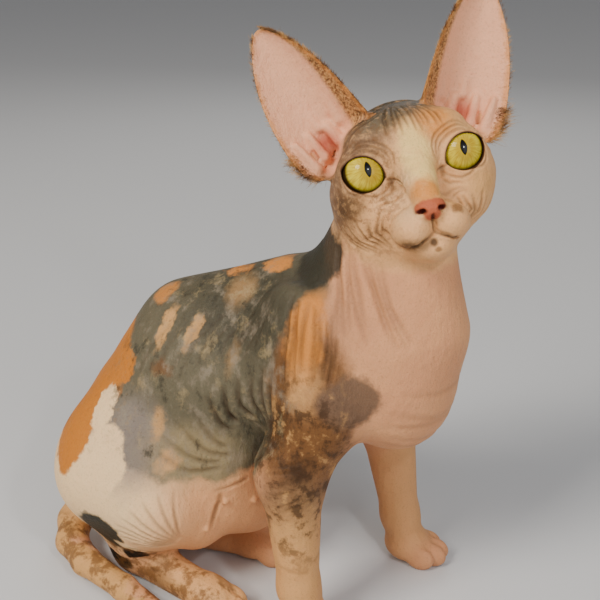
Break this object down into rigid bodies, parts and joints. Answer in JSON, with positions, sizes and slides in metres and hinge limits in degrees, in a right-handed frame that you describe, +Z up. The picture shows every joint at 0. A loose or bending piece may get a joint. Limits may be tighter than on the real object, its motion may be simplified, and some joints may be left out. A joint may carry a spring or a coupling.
{
  "type": "sphynx cat",
  "caption": "Still, life-size hairless kitten sitting upright, head turned to its right, tail laid forward along its right side.",
  "frame": {"origin": "on the floor, under the middle of the bounding box", "axes": "+X the way the cat's body faces, +Y to its left, +Z up"},
  "size_m": [0.2083, 0.137, 0.2921],
  "materials": {
    "skin_mottled": "bare wrinkled skin, slate and tan patches",
    "skin_pale": "bare wrinkled skin, pinkish cream",
    "ear_skin": "thin pink skin with a downy rim",
    "eye": "wet gloss, yellow iris with an upright pupil"
  },
  "bodies": {
    "root": {"skull": "skin_mottled", "neck": "skin_mottled", "abdomen": "skin_mottled", "foreleg_left": "skin_mottled", "foreleg_right": "skin_mottled", "hindleg_left": "skin_mottled", "hindleg_right": "skin_mottled", "tail_root": "skin_mottled", "tail_tip": "skin_mottled", "face": "skin_pale", "chest": "skin_pale", "forepaw_left": "skin_pale", "forepaw_right": "skin_pale", "hindfoot_left": "skin_pale", "hindfoot_right": "skin_pale", "tail_middle": "skin_pale", "ear_left": "ear_skin", "ear_right": "ear_skin", "eye_left": "eye", "eye_right": "eye"}
  },
  "joints": []
}
